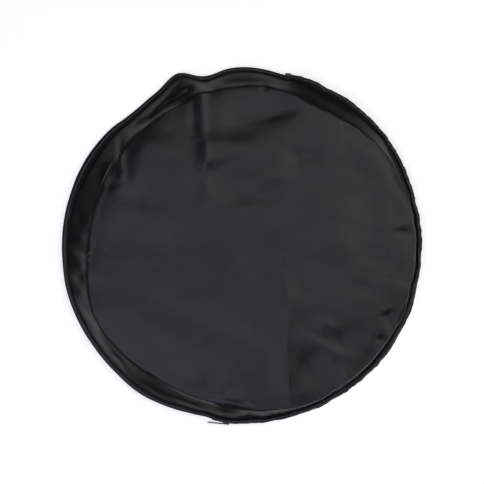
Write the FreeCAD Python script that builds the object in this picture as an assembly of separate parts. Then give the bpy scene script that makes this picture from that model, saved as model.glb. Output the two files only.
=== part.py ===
"""A collapsible reflector disc, folded into three loops and stored in its round zip pouch.

The pouch lies flat: +Z is up, +X points out of the middle of the zipped mouth, and the origin is at the centre
of the pouch's footprint, on the surface that it lies on. Millimetres and degrees.

The disc is a closed spring-steel band in a cloth rim sleeve, with a silver and a white face. Folded, the band
makes three loops, one above the other, and crosses from the top loop back to the bottom one on the inside.
"""

import FreeCAD, Part

import math
import os

Vector = FreeCAD.Vector
UP = Vector(0, 0, 1)

# ---- The folded disc ----
open_diameter = 1060.0        # over the rim sleeve, when the disc is sprung open
sleeve_width = 9.0            # rim sleeve, across the rim
sleeve_height = 7.2           # rim sleeve, along the disc's axis
sleeve_corner = 2.6
band_thickness = 1.0          # spring steel band, thin way round
band_width = 4.6              # spring steel band, wide way, along the disc's axis
band_clearance = 0.5          # between the band and the sleeve's inside, on each side
loop_gap = 0.25               # between one loop and the next
loop_step = 4.6               # each higher loop is this much smaller in radius
shift_x = 5.5                 # the folded disc sits this far towards the mouth
shift_y = -2.0
crossing_start = 150.0        # the band changes from loop to loop in this stretch, away from the mouth
crossing_end = 210.0
crossing_gap = 0.6            # between the band's inward crossing and the loops beside it
ferrule_wall = 0.3            # crimped ferrule over the joint of the band's two ends
ferrule_fit = 0.05
ferrule_length = 34.0
ferrule_angle = 62.0          # where on the bottom loop the joint lies
face_gap = 0.3                # between a folded face and what it lies on or beside
silver_sink = 3.4             # top of the folded silver face, below the top of the rim

# ---- The pouch ----
cloth = 0.8                   # outer cloth with its coating and turnings
back_thickness = 3.6          # back panel with its hem, rumpled under the disc
lie_gap = 0.3                 # between the disc and the cloth that it lies in
mouth_gap = 7.8               # between the lowest loop and the wall in the mouth
footprint_flange = 1.4        # the back panel's seam stands out this far past the wall
wall_lean_mouth = 12.0        # how far the wall leans in, in the mouth
wall_lean_back = 29.1         # and on the far side
wall_lean_skew = -2.0         # the top's centre, across the mouth
hinge_x = 34.0                # the front panel folds back along this line
hinge_rise = 0.15             # the fold's axis, above the panel's outer face
fold_gap = 0.3                # between the sewn part and the flap, in all
binding_width = 3.7
binding_height = 2.8

# ---- The zip, standing upright in the mouth ----
zip_half_angle = 88.0         # tape ends, each side of the mouth's middle
coil_half_angle = 86.3
tape_thickness = 0.5
tape_showing = 2.5            # upright tape between the coil and the panel's edge
tape_overlap = 7.4            # tape that is sewn behind the flap
tape_flange = 10.0            # tape that is sewn under the back panel
tape_fit = 0.05               # between a tape and the cloth that it is sewn to
tape_lift = 0.3               # lower edge of the tape, above the surface
coil_height = 1.3             # each coil, along the upright tape
coil_thickness = 1.6
coil_gap = 1.2                # between the two coils' cores, where the slider's wedge runs
slider_length = 10.0
slider_plate = 0.8
slider_fit = 0.3              # between a coil and the slider's plates
slider_lip = 0.5              # the plates' lips, which keep the coils in
slider_lip_height = 1.0
slider_margin = 1.2           # plates past each coil
wedge_thickness = 0.7
wedge_length = 4.0
slider_park_angle = -83.0     # at the closed end
slider_panel_gap = 0.4        # between the slider's inner plate and the back panel's edge
stop_height = 2.2
stop_length = 2.4

# ---- The slider's pull ----
crown_length = 5.0
crown_reach = 1.8
crown_width = 1.6
pin_radius = 0.5
pin_clearance = 0.1
pin_reach = 0.95              # pin's axis, out from the slider's plate
pull_arm = 1.3
pull_thickness = 1.0
pull_length = 22.0
pull_fork = 3.8               # the fork's depth, from the pin
pull_side_gap = 0.2
pull_end_radius = 1.6

# ---- Worked out from the above ----
band_line_mean = (open_diameter - sleeve_width) / 6
loop_radius = [band_line_mean + (1 - k) * loop_step for k in range(3)]
disc_bottom = back_thickness + lie_gap
loop_z = [disc_bottom + sleeve_height / 2 + k * (sleeve_height + loop_gap) for k in range(3)]
disc_top = loop_z[2] + sleeve_height / 2
inner_crossing_radius = loop_radius[2] - sleeve_width - crossing_gap
inner_top = disc_top + lie_gap
outer_top = inner_top + cloth
wall_inside = shift_x + loop_radius[0] + sleeve_width / 2 + mouth_gap
wall_outside = wall_inside + cloth
footprint_radius = wall_outside + footprint_flange
tape_inside = wall_inside - tape_thickness
coil_inside = tape_inside + (tape_thickness - coil_thickness) / 2
coil_outside = coil_inside + coil_thickness
lower_coil_top = back_thickness
lower_coil_bottom = lower_coil_top - coil_height
upper_coil_bottom = lower_coil_top + coil_gap
upper_coil_top = upper_coil_bottom + coil_height
chain_z = (lower_coil_top + upper_coil_bottom) / 2
panel_edge_z = upper_coil_top + tape_showing
top_radius = wall_outside - (wall_lean_mouth + wall_lean_back) / 2
top_centre = Vector((wall_lean_back - wall_lean_mouth) / 2, wall_lean_skew, 0)
tall = 4 * outer_top
wide = 2.2 * footprint_radius


def save(node, *shapes):
    """One STEP file for a node, from its separate solids."""
    solids = [s for shape in shapes for s in shape.Solids]
    whole = solids[0] if len(solids) == 1 else Part.makeCompound(solids)
    whole.exportStep(f"parts/{node}.step")
    print(f"{node}: {len(solids)} solid(s), {sum(s.Volume for s in solids) / 1000:.2f} cm3,",
          "valid" if all(s.isValid() for s in solids) else "INVALID")


def sector(outline, start, end, centre=Vector(0, 0, 0)):
    """Turns an outline of (radius, height) points about a vertical axis, from one angle to another."""
    corners = [Vector(r, 0, z) for r, z in outline]
    face = Part.Face(Part.makePolygon(corners + corners[:1]))
    solid = face.revolve(Vector(0, 0, 0), UP, end - start)
    solid.rotate(Vector(0, 0, 0), UP, start)
    solid.translate(centre)
    return solid


def ring_piece(r_in, r_out, z_low, z_high, start, end):
    return sector([(r_in, z_low), (r_out, z_low), (r_out, z_high), (r_in, z_high)], start, end)


def box(x0, x1, y0, y1, z0, z1):
    return Part.makeBox(x1 - x0, y1 - y0, z1 - z0, Vector(x0, y0, z0))


# ---- The folded disc: sections carried along the band's three loops ----


def rounded_section(width, height, corner):
    """An upright section about the origin, in the XZ plane, as a closed wire."""
    u, v = width / 2, height / 2
    k = corner * (1 - math.sqrt(0.5))
    edges = []
    for side in range(4):
        a = math.radians(90 * side)
        turn = lambda x, z: Vector(x * math.cos(a) - z * math.sin(a), 0, x * math.sin(a) + z * math.cos(a))
        if side % 2:
            u, v = height / 2, width / 2
        else:
            u, v = width / 2, height / 2
        edges.append(Part.LineSegment(turn(u, -v + corner), turn(u, v - corner)).toShape())
        if corner > 0:
            edges.append(Part.Arc(turn(u, v - corner), turn(u - k, v - k), turn(u - corner, v)).toShape())
    return Part.Wire(edges)


def placed(section, angle, radius, z):
    """The section standing across the rim, at an angle, radius and height about the folded disc's axis."""
    wire = section.copy()
    wire.translate(Vector(radius, 0, z))
    wire.rotate(Vector(0, 0, 0), UP, angle)
    wire.translate(Vector(shift_x, shift_y, 0))
    return wire


def ease(t, start, end):
    """0 before start, 1 after end, smooth between."""
    s = min(1.0, max(0.0, (t - start) / (end - start)))
    return s * s * (3 - 2 * s)


def climbing(k):
    """Loop k rises to loop k + 1 in the middle of the crossing."""
    def at(t):
        s = ease(t, 0.28, 0.74)
        return (loop_radius[k] + s * (loop_radius[k + 1] - loop_radius[k]),
                loop_z[k] + s * (loop_z[k + 1] - loop_z[k]))
    return at


def diving(t):
    """The top loop goes inwards, down past the others, and out again as the bottom loop."""
    inwards, outwards, down = ease(t, 0.0, 0.28), ease(t, 0.74, 1.0), ease(t, 0.28, 0.74)
    radius = loop_radius[2] + inwards * (inner_crossing_radius - loop_radius[2])
    radius += outwards * (loop_radius[0] - inner_crossing_radius)
    return radius, loop_z[2] + down * (loop_z[0] - loop_z[2])


def crossing(section, path, steps):
    wires = []
    for i in range(steps + 1):
        t = i / steps
        radius, z = path(t)
        wires.append(placed(section, crossing_start + t * (crossing_end - crossing_start), radius, z))
    return Part.makeLoft(wires, True, True)


def level(section, k, start, end):
    face = Part.Face(placed(section, start, loop_radius[k], loop_z[k]))
    return face.revolve(Vector(shift_x, shift_y, 0), UP, end - start)


def carried(section, inner=None):
    """The section carried along the whole closed band, with the inner section taken out of it."""
    def hollow(make):
        outer = make(section)
        return outer.cut(make(inner)) if inner else outer
    pieces = [hollow(lambda s, k=k: level(s, k, crossing_end, crossing_start + 360)) for k in range(3)]
    pieces += [hollow(lambda s, k=k: crossing(s, climbing(k), 12)) for k in range(2)]
    pieces.append(hollow(lambda s: crossing(s, diving, 24)))
    return pieces[0].multiFuse(pieces[1:])


def fold_disc():
    sleeve = rounded_section(sleeve_width, sleeve_height, sleeve_corner)
    cavity = rounded_section(band_thickness + 2 * band_clearance, band_width + 2 * band_clearance, 0.4)
    band = rounded_section(band_thickness, band_width, 0.2)
    save("rim_sleeve", carried(sleeve, cavity))
    save("spring_band", carried(band))

    bore = rounded_section(band_thickness + 2 * ferrule_fit, band_width + 2 * ferrule_fit, 0.2)
    shell = rounded_section(band_thickness + 2 * (ferrule_fit + ferrule_wall),
                            band_width + 2 * (ferrule_fit + ferrule_wall), 0.4)
    half = math.degrees(ferrule_length / 2 / loop_radius[0])
    spans = (ferrule_angle - half, ferrule_angle + half)
    save("band_ferrule", level(shell, 0, *spans).cut(level(bore, 0, *spans)))

    disc_centre = Vector(shift_x, shift_y, 0)
    split = loop_z[1]
    keep_out = sector([(inner_crossing_radius - sleeve_width / 2 - crossing_gap, 0),
                       (wide, 0), (wide, tall), (inner_crossing_radius - sleeve_width / 2 - crossing_gap, tall)],
                      crossing_start - 2, crossing_end + 2, disc_centre)

    def face(radius, low, high):
        pad = Part.makeCylinder(radius, high - low, disc_centre + Vector(0, 0, low))
        return pad.cut(keep_out)
    edge = sleeve_width / 2 + face_gap
    save("white_face", face(loop_radius[1] - edge, disc_bottom + face_gap, split - face_gap / 2))
    save("silver_face", face(loop_radius[2] - edge, split + face_gap / 2, disc_top - silver_sink))


# ---- The pouch ----


def cone(inset, low, high):
    """The leaning wall and what is inside it, inset from the outer face, between two heights."""
    def circle_at(z):
        t = (z - panel_edge_z) / (outer_top - panel_edge_z)
        radius = (1 - t) * wall_outside + t * top_radius - inset
        centre = top_centre * t
        return Part.Wire(Part.makeCircle(radius, Vector(centre.x, centre.y, z)))
    return Part.makeLoft([circle_at(low), circle_at(high)], True, True)


def before_fold(shape):
    return shape.common(box(-wide, hinge_x - fold_gap / 2, -wide, wide, -tall, tall))


def past_fold(shape):
    return shape.common(box(hinge_x + fold_gap / 2, wide, -wide, wide, -tall, tall))


def make_panels():
    seam_start, seam_end = zip_half_angle + 0.5, 360 - zip_half_angle - 0.5
    back = Part.makeCylinder(footprint_radius, back_thickness)
    back_edge = coil_inside - slider_fit - slider_plate - slider_panel_gap
    back = back.cut(ring_piece(back_edge, wide, -1, tall, -seam_start, seam_start))
    groove_inside = wall_inside - tape_flange - tape_fit
    groove_top = tape_lift + tape_thickness + tape_fit
    back = back.cut(ring_piece(groove_inside, wide, -1, groove_top, -seam_start, seam_start))
    save("back_panel", back)

    shell = cone(0, panel_edge_z, outer_top).cut(cone(cloth, panel_edge_z, inner_top))
    skirt = ring_piece(wall_inside, wall_outside, back_thickness, panel_edge_z, seam_start, seam_end)
    save("front_panel_sewn_part", before_fold(shell).fuse(skirt).removeSplitter())
    save("front_panel_flap", past_fold(shell))

    binding_out = wall_inside - lie_gap
    save("seam_binding", ring_piece(binding_out - binding_width, binding_out, back_thickness,
                                    back_thickness + binding_height, seam_start + 1, seam_end - 1))


# ---- The zip ----


def make_zip():
    a = zip_half_angle
    lower = ring_piece(tape_inside, wall_inside, tape_lift, lower_coil_bottom, -a, a)
    flange = ring_piece(wall_inside - tape_flange, wall_inside, tape_lift, tape_lift + tape_thickness, -a, a)
    save("zip_tape_lower", lower.fuse(flange).removeSplitter())

    upright = ring_piece(tape_inside, wall_inside, upper_coil_top, panel_edge_z, -a, a)
    behind = cone(cloth + tape_fit, panel_edge_z, panel_edge_z + tape_overlap)
    behind = behind.cut(cone(cloth + tape_fit + tape_thickness, panel_edge_z, panel_edge_z + tape_overlap))
    behind = behind.common(sector([(0, 0), (wide, 0), (wide, tall), (0, tall)], -a, a))
    upper = upright.fuse(behind)
    save("zip_tape_upper", past_fold(upper))
    save("zip_tape_upper_ends", before_fold(upper))

    c = coil_half_angle
    save("zip_coil_lower", ring_piece(coil_inside, coil_outside, lower_coil_bottom, lower_coil_top, -c, c))
    coil = ring_piece(coil_inside, coil_outside, upper_coil_bottom, upper_coil_top, -c, c)
    save("zip_coil_upper", past_fold(coil))
    save("zip_coil_upper_ends", before_fold(coil))


def stop(z_low, z_high, angle):
    """A clip pressed over the tape's edge, just past the end of a coil."""
    half = math.degrees(stop_length / 2 / wall_inside)
    clip = ring_piece(coil_inside, coil_outside, z_low, z_high, angle - half, angle + half)
    slot = ring_piece(tape_inside - tape_fit, wall_inside + tape_fit, -1, lower_coil_bottom + tape_fit,
                      angle - 2 * half, angle + 2 * half)
    slot_above = ring_piece(tape_inside - tape_fit, wall_inside + tape_fit, upper_coil_top - tape_fit, tall,
                            angle - 2 * half, angle + 2 * half)
    return clip.cut(slot).cut(slot_above)


def make_stops():
    angle = coil_half_angle + math.degrees((stop_length / 2 + pull_side_gap) / wall_inside)
    overlap = stop_height - coil_height
    save("zip_top_stops",
         stop(lower_coil_bottom - overlap, lower_coil_top, -angle),
         stop(upper_coil_bottom, upper_coil_top + overlap, -angle))
    save("zip_bottom_stop", stop(lower_coil_bottom - overlap, upper_coil_top + overlap, angle))


def parked(shape):
    shape.rotate(Vector(0, 0, 0), UP, slider_park_angle)
    return shape


def make_slider():
    low, high = lower_coil_bottom - slider_margin, upper_coil_top + slider_margin
    half = slider_length / 2
    inner_face, outer_face = coil_inside - slider_fit, coil_outside + slider_fit
    body = box(inner_face - slider_plate, inner_face, -half, half, low, high)
    body = body.fuse(box(outer_face, outer_face + slider_plate, -half, half, low, high))
    for z in (low, high - slider_lip_height):
        body = body.fuse(box(inner_face, inner_face + slider_lip, -half, half, z, z + slider_lip_height))
        body = body.fuse(box(outer_face - slider_lip, outer_face, -half, half, z, z + slider_lip_height))
    wedge_start = half - wedge_length - slider_plate
    body = body.fuse(box(inner_face, outer_face, wedge_start, wedge_start + wedge_length,
                         chain_z - wedge_thickness / 2, chain_z + wedge_thickness / 2))
    save("slider_body", parked(body.removeSplitter()))

    plate = outer_face + slider_plate
    pin_x = plate + pin_reach
    crown = box(plate, plate + crown_reach, -crown_length / 2, crown_length / 2,
                chain_z - crown_width / 2, chain_z + crown_width / 2)
    outer_edges = [e for e in crown.Edges if e.BoundBox.XMin > plate + crown_reach - 0.01
                   and e.BoundBox.ZLength > crown_width / 2]
    crown = crown.makeFillet(crown_reach * 0.45, outer_edges)
    crown = crown.cut(Part.makeCylinder(pin_radius + pin_clearance, tall, Vector(pin_x, 0, -tall / 2)))
    save("slider_crown", parked(crown))

    inside = crown_width / 2 + pull_side_gap
    outside = inside + pull_arm
    pull = box(pin_x - pull_thickness / 2, pin_x + pull_thickness / 2, -pull_length, pull_thickness / 2,
               chain_z - outside, chain_z + outside)
    tip = [e for e in pull.Edges if e.BoundBox.YMax < -pull_length + 0.01 and e.BoundBox.XLength > pull_thickness / 2]
    pull = pull.makeFillet(pull_end_radius, tip)
    pull = pull.cut(box(0, wide, -pull_fork, tall, chain_z - inside, chain_z + inside))
    pull = pull.cut(Part.makeCylinder(1.0, wide, Vector(0, -pull_length + 4.0, chain_z), Vector(1, 0, 0)))
    pin = Part.makeCylinder(pin_radius, 2 * inside, Vector(pin_x, 0, chain_z - inside))
    save("pull_tab", parked(pull.fuse(pin)))


os.makedirs("parts", exist_ok=True)
make_panels()
make_zip()
make_stops()
make_slider()
fold_disc()
print("pouch", round(2 * footprint_radius, 1), "mm across,", round(outer_top, 1), "mm high; wall at",
      round(wall_inside, 2), "; disc from", disc_bottom, "to", round(disc_top, 2), "; zip's panel edge at",
      round(panel_edge_z, 2), "; pin at radius", round(coil_outside + slider_fit + slider_plate + pin_reach, 3),
      "and height", round(chain_z, 2), "; fold's axis at", hinge_x, round(outer_top + hinge_rise, 2))
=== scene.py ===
"""Looks of a collapsible reflector disc, folded up in its round zip pouch. Metres, in the part's own frame.

The pouch lies flat, +Z is up and +X points out of the middle of the zipped mouth. The camera looks straight
down, rolled a little, so marks on the cloth are placed in the camera's own axes: u to its right and v up.
"""

import math

import bpy
import numpy as np
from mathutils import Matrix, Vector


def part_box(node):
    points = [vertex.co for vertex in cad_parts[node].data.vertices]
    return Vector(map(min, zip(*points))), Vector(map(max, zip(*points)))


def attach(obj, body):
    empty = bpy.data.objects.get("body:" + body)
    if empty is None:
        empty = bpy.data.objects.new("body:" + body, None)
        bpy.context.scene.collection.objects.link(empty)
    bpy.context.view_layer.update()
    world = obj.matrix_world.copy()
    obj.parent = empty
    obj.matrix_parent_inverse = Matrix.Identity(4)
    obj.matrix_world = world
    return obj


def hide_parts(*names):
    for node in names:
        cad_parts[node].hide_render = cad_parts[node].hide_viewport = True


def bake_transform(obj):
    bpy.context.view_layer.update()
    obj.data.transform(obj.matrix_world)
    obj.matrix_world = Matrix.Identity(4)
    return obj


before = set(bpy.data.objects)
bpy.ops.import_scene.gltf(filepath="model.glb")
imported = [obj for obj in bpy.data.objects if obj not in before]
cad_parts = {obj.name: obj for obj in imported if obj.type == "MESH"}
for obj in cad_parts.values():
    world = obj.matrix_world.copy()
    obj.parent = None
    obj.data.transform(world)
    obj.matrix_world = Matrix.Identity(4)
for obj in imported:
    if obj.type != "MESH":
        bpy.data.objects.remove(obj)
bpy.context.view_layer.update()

MM = 0.001
TURN = 2 * math.pi

# ---- The camera ----
VIEW_ROLL = math.radians(12)      # the picture's right, from +X
VIEW_WIDTH = 541 * MM             # what the picture spans at the pouch
VIEW_AIM = (-0.8 * MM, 3.3 * MM)  # the picture's middle, in u and v
VIEW_LENS = 100.0

# ---- Sizes from the frame ----
sewn_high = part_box("front_panel_sewn_part")[1]
flap_low, flap_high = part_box("front_panel_flap")
sleeve_low, sleeve_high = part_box("rim_sleeve")
silver_low, silver_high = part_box("silver_face")
white_low, white_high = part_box("white_face")
lower_coil_low, lower_coil_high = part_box("zip_coil_lower")
upper_coil_low, upper_coil_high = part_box("zip_coil_upper")
binding_low, binding_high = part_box("seam_binding")

TOP_Z = sewn_high.z
WALL_RADIUS = flap_high.x
ZIP_HALF = math.radians(88)
CREST = (11.5 * MM, -2.0 * MM, 178.5 * MM)  # the front panel's flat: its middle and reach

# ---- The folded rim, as the part's source sets it ----
SLEEVE_WIDTH = 9.0 * MM
SLEEVE_HEIGHT = 7.2 * MM
SLEEVE_CORNER = 2.6 * MM
SLEEVE_FLAT = 1.9 * MM            # half the flat on top of each loop, between its corners
LOOP_STEP = 4.6 * MM
LOOP_GAP = 0.25 * MM
CROSSING_GAP = 0.6 * MM
CROSSING_END = math.radians(210)  # the band changes loops over the 60 degrees before it
RIM_REACH = (sleeve_high.y - sleeve_low.y) / 2
RIM_X = sleeve_high.x - RIM_REACH
RIM_Y = (sleeve_high.y + sleeve_low.y) / 2
LOOP_RADIUS = [RIM_REACH - SLEEVE_WIDTH / 2 - k * LOOP_STEP for k in range(3)]
LOOP_Z = [sleeve_low.z + SLEEVE_HEIGHT / 2 + k * (SLEEVE_HEIGHT + LOOP_GAP) for k in range(3)]
INNER_CROSSING = LOOP_RADIUS[2] - SLEEVE_WIDTH - CROSSING_GAP


# ---- Numbers: easing, noise and marks ----


def smooth(x, low, high):
    """0 below low, 1 above high, smooth between."""
    t = np.clip((x - low) / (high - low), 0, 1)
    return t * t * (3 - 2 * t)


def around(angle, middle):
    """Angle from middle, in degrees, between -180 and 180."""
    return (angle - middle + 180) % 360 - 180


def view_degrees(angle):
    """An angle of the part's frame, in radians, as degrees from the camera's axis u."""
    return np.degrees(angle - VIEW_ROLL)


def lobe(view_angle, middle, width, height=1.0):
    """A soft rise of this height round one angle, with angles in degrees."""
    return height * np.exp(-(around(view_angle, middle) / width) ** 2)


def ripple(x, y, size, seed):
    """Smooth noise between -1 and 1, with bumps about as large as size."""
    table = np.random.default_rng(seed).uniform(-1, 1, (64, 64))
    gx, gy = x / size, y / size
    ix, iy = np.floor(gx).astype(int), np.floor(gy).astype(int)
    fx, fy = gx - ix, gy - iy
    fx, fy = fx * fx * (3 - 2 * fx), fy * fy * (3 - 2 * fy)

    def corner(a, b):
        return table[(ix + a) % 64, (iy + b) % 64]

    low = corner(0, 0) * (1 - fx) + corner(1, 0) * fx
    high = corner(0, 1) * (1 - fx) + corner(1, 1) * fx
    return low * (1 - fy) + high * fy


def along(values, size, seed):
    """Smooth noise between -1 and 1 along one line."""
    return ripple(values, np.full_like(values, 0.37 * size), size, seed)


def to_view(x, y):
    """The camera's axes u and v, for points in the part's frame."""
    c, s = math.cos(VIEW_ROLL), math.sin(VIEW_ROLL)
    return x * c + y * s, -x * s + y * c


def from_view(u, v):
    c, s = math.cos(VIEW_ROLL), math.sin(VIEW_ROLL)
    return u * c - v * s, u * s + v * c


def smooth_path(points, steps=8):
    """Points on a smooth curve through the given ones."""
    p = np.array(points, float) * MM
    if len(p) == 2:
        return p
    p = np.vstack([2 * p[0] - p[1], p, 2 * p[-1] - p[-2]])
    out = []
    for i in range(1, len(p) - 2):
        for k in range(steps):
            t = k / steps
            out.append(0.5 * (2 * p[i] + (p[i + 1] - p[i - 1]) * t
                              + (2 * p[i - 1] - 5 * p[i] + 4 * p[i + 1] - p[i + 2]) * t * t
                              + (3 * p[i] - p[i - 1] - 3 * p[i + 1] + p[i + 2]) * t ** 3))
    return np.vstack([out, p[-2]])


def fold(u, v, points, left, right, height, fade=0.35, sharp=False):
    """A ridge, or a valley if height is negative, along a curve through points in u and v, in millimetres.
    left and right are how wide it is on each side of the way it runs. It fades towards both ends.
    """
    path = smooth_path(points)
    near = max(left, right) * 3 * MM
    u0, v0 = path.min(0) - near
    u1, v1 = path.max(0) + near
    inside = (u > u0) & (u < u1) & (v > v0) & (v < v1)
    out = np.zeros_like(u)
    if not inside.any():
        return out
    pu, pv = u[inside], v[inside]
    lengths = np.linalg.norm(np.diff(path, axis=0), axis=1)
    start = np.concatenate([[0], np.cumsum(lengths)])
    best = np.full(pu.shape, 1e9)
    side = np.zeros(pu.shape)
    place = np.zeros(pu.shape)
    for i, length in enumerate(lengths):
        du, dv = (path[i + 1] - path[i]) / length
        ru, rv = pu - path[i][0], pv - path[i][1]
        t = np.clip(ru * du + rv * dv, 0, length)
        d = np.hypot(ru - t * du, rv - t * dv)
        closer = d < best
        best = np.where(closer, d, best)
        side = np.where(closer, np.sign(du * rv - dv * ru), side)
        place = np.where(closer, (start[i] + t) / start[-1], place)
    width = np.where(side > 0, left, right) * MM
    shape = np.exp(-best / width * 1.4) if sharp else np.exp(-(best / width) ** 2)
    shape = shape * smooth(place, -0.02, fade) * smooth(1 - place, -0.02, fade)
    out[inside] = height * MM * shape
    return out


def crease(u, v, points, left, right, height, fade=0.25):
    """A fold that comes to an edge along its line."""
    return fold(u, v, points, left, right, height, fade, sharp=True)


def dent(u, v, at, size, turn, height):
    """A soft round or oval rise, or a hollow if height is negative, in millimetres and degrees."""
    a = math.radians(turn)
    du, dv = u - at[0] * MM, v - at[1] * MM
    p = (du * math.cos(a) + dv * math.sin(a)) / (size[0] * MM)
    q = (-du * math.sin(a) + dv * math.cos(a)) / (size[1] * MM)
    return height * MM * np.exp(-p * p - q * q)


# ---- Meshes ----


def new_mesh(name, points, faces, material, uv=None):
    mesh = bpy.data.meshes.new(name)
    mesh.from_pydata(np.asarray(points, float).reshape(-1, 3).tolist(), [], faces)
    mesh.polygons.foreach_set("use_smooth", [True] * len(mesh.polygons))
    mesh.materials.append(material)
    if uv is not None:
        layer = mesh.uv_layers.new(name="UVMap")
        loops = np.zeros(len(mesh.loops), int)
        mesh.loops.foreach_get("vertex_index", loops)
        layer.data.foreach_set("uv", np.asarray(uv, float).reshape(-1, 2)[loops].ravel())
    mesh.update()
    piece = bpy.data.objects.new(name, mesh)
    bpy.context.scene.collection.objects.link(piece)
    return piece


def grid_faces(rows, columns, closed_rows=False, closed_columns=False):
    """Quads of a grid whose points are stored row by row."""
    faces = []
    for i in range(rows if closed_rows else rows - 1):
        a, b = i * columns, (i + 1) % rows * columns
        for j in range(columns if closed_columns else columns - 1):
            k = (j + 1) % columns
            faces.append((a + j, a + k, b + k, b + j))
    return faces


# ---- Materials ----


def material(name, roughness, metallic=0.0, specular=0.5, sheen=0.0, coat=0.0):
    made = bpy.data.materials.new(name)
    made.use_nodes = True
    shader = made.node_tree.nodes["Principled BSDF"]
    shader.inputs["Roughness"].default_value = roughness
    shader.inputs["Metallic"].default_value = metallic
    shader.inputs["Specular IOR Level"].default_value = specular
    shader.inputs["Sheen Weight"].default_value = sheen
    shader.inputs["Sheen Roughness"].default_value = 0.4
    shader.inputs["Coat Weight"].default_value = coat
    return made, made.node_tree.nodes, made.node_tree.links, shader


def noise_node(nodes, links, place, size, detail=3.0, roughness=0.5):
    node = nodes.new("ShaderNodeTexNoise")
    node.inputs["Scale"].default_value = 1 / size
    node.inputs["Detail"].default_value = detail
    node.inputs["Roughness"].default_value = roughness
    links.new(place, node.inputs["Vector"])
    return node.outputs["Fac"]


def wave_node(nodes, links, place, pitch, direction, distortion=0.0):
    node = nodes.new("ShaderNodeTexWave")
    node.bands_direction = direction
    node.inputs["Scale"].default_value = TURN / 20 / pitch
    node.inputs["Distortion"].default_value = distortion
    node.inputs["Detail"].default_value = 1.0
    links.new(place, node.inputs["Vector"])
    return node.outputs["Fac"]


def math_node(nodes, links, kind, a, b):
    node = nodes.new("ShaderNodeMath")
    node.operation = kind
    for socket, value in zip(node.inputs, (a, b)):
        if isinstance(value, (int, float)):
            socket.default_value = value
        else:
            links.new(value, socket)
    return node.outputs[0]


def ramp(nodes, links, value, stops):
    node = nodes.new("ShaderNodeValToRGB")
    while len(node.color_ramp.elements) < len(stops):
        node.color_ramp.elements.new(0.5)
    for element, (position, color) in zip(node.color_ramp.elements, stops):
        element.position = position
        element.color = (*color, 1)
    links.new(value, node.inputs["Fac"])
    return node.outputs["Color"]


def bump(nodes, links, height, distance, strength, below=None):
    node = nodes.new("ShaderNodeBump")
    node.inputs["Distance"].default_value = distance
    node.inputs["Strength"].default_value = strength
    links.new(height, node.inputs["Height"])
    if below is not None:
        links.new(below, node.inputs["Normal"])
    return node.outputs["Normal"]


def woven(name, dark, light, pitch, roughness, specular, sheen, crinkle, weave_depth, space="Object"):
    """Cloth: crossed threads, fine crinkles and a little variation in colour and gloss."""
    made, nodes, links, shader = material(name, roughness, specular=specular, sheen=sheen)
    place = nodes.new("ShaderNodeTexCoord").outputs[space]
    patch = noise_node(nodes, links, place, 0.05, 4)
    links.new(ramp(nodes, links, patch, [(0.3, dark), (0.7, light)]), shader.inputs["Base Color"])
    warp = wave_node(nodes, links, place, pitch, "X")
    weft = wave_node(nodes, links, place, pitch, "Y")
    threads = math_node(nodes, links, "MULTIPLY", warp, weft)
    fine = noise_node(nodes, links, place, 0.0035, 2, 0.5)
    low = bump(nodes, links, fine, 0.0006, crinkle)
    links.new(bump(nodes, links, threads, pitch * 0.35, weave_depth, low), shader.inputs["Normal"])
    gloss = nodes.new("ShaderNodeMapRange")
    gloss.inputs["To Min"].default_value = roughness - 0.05
    gloss.inputs["To Max"].default_value = roughness + 0.07
    links.new(noise_node(nodes, links, place, 0.02, 3), gloss.inputs["Value"])
    links.new(gloss.outputs["Result"], shader.inputs["Roughness"])
    return made


POUCH_CLOTH = woven("pouch_cloth", (0.0050, 0.0050, 0.0054), (0.0065, 0.0065, 0.0072), pitch=0.45 * MM,
                    roughness=0.29, specular=0.42, sheen=0.0, crinkle=0.2, weave_depth=0.3)
BACK_CLOTH = woven("back_cloth", (0.009, 0.009, 0.010), (0.012, 0.012, 0.013), pitch=0.45 * MM,
                   roughness=0.5, specular=0.45, sheen=0.0, crinkle=0.3, weave_depth=0.4)
TAPE_CLOTH = woven("zip_tape_cloth", (0.007, 0.007, 0.008), (0.010, 0.010, 0.011), pitch=0.7 * MM,
                   roughness=0.6, specular=0.35, sheen=0.05, crinkle=0.1, weave_depth=1.0)


# ---- The front panel ----

COLUMNS = 960
TOP_ROWS = 104
SLOPE_ROWS = 30
HEM_ROWS = 14
HEM_TURN = 290                    # how far the edge rolls under, in degrees
COVER_GAP = 0.25 * MM             # the front panel over the rim
CRUMPLE_ROOM = 2.1 * MM           # the front panel over the folded cloth
SOFT_CONTACT = 0.5 * MM           # how softly the cloth takes up what is under it
RELEASE_SLOPE = 1.2               # how steeply it may drop past the rim
TOP_GAIN = 1.2                    # how strong the folds near the edge are, against their heights below
LEFT_GAIN = 1.3
LOWER_LEFT_GAIN = 1.2
angles = np.arange(COLUMNS) * TURN / COLUMNS


def edge_offset(view_angle):
    """How far the pouch's edge stands out past its nominal wall, by the camera's angle in degrees."""

    def rise(middle, width, height):
        return lobe(view_angle, middle, width, height)

    out = -0.5 + rise(196, 38, 3.9) + rise(111, 5, 7.2) + rise(129, 11, -7.0) + rise(102, 6, -6.0)
    out += rise(73, 9, -4.4) + rise(262, 17, -4.6) + rise(287, 12, -4.4) + rise(40, 18, 1.6)
    out += rise(265, 6, 4.8) + rise(240, 10, 1.8) + rise(352, 7, -1.4) + rise(338, 8, 0.8) + rise(320, 8, 1.0)
    return out * MM


def mouth_share(angle):
    """1 where the edge is zipped, 0 where it is sewn, by the angle in the part's frame, in radians."""
    return 1 - smooth(np.abs(around(np.degrees(angle), 0)), 84, 91)


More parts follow.
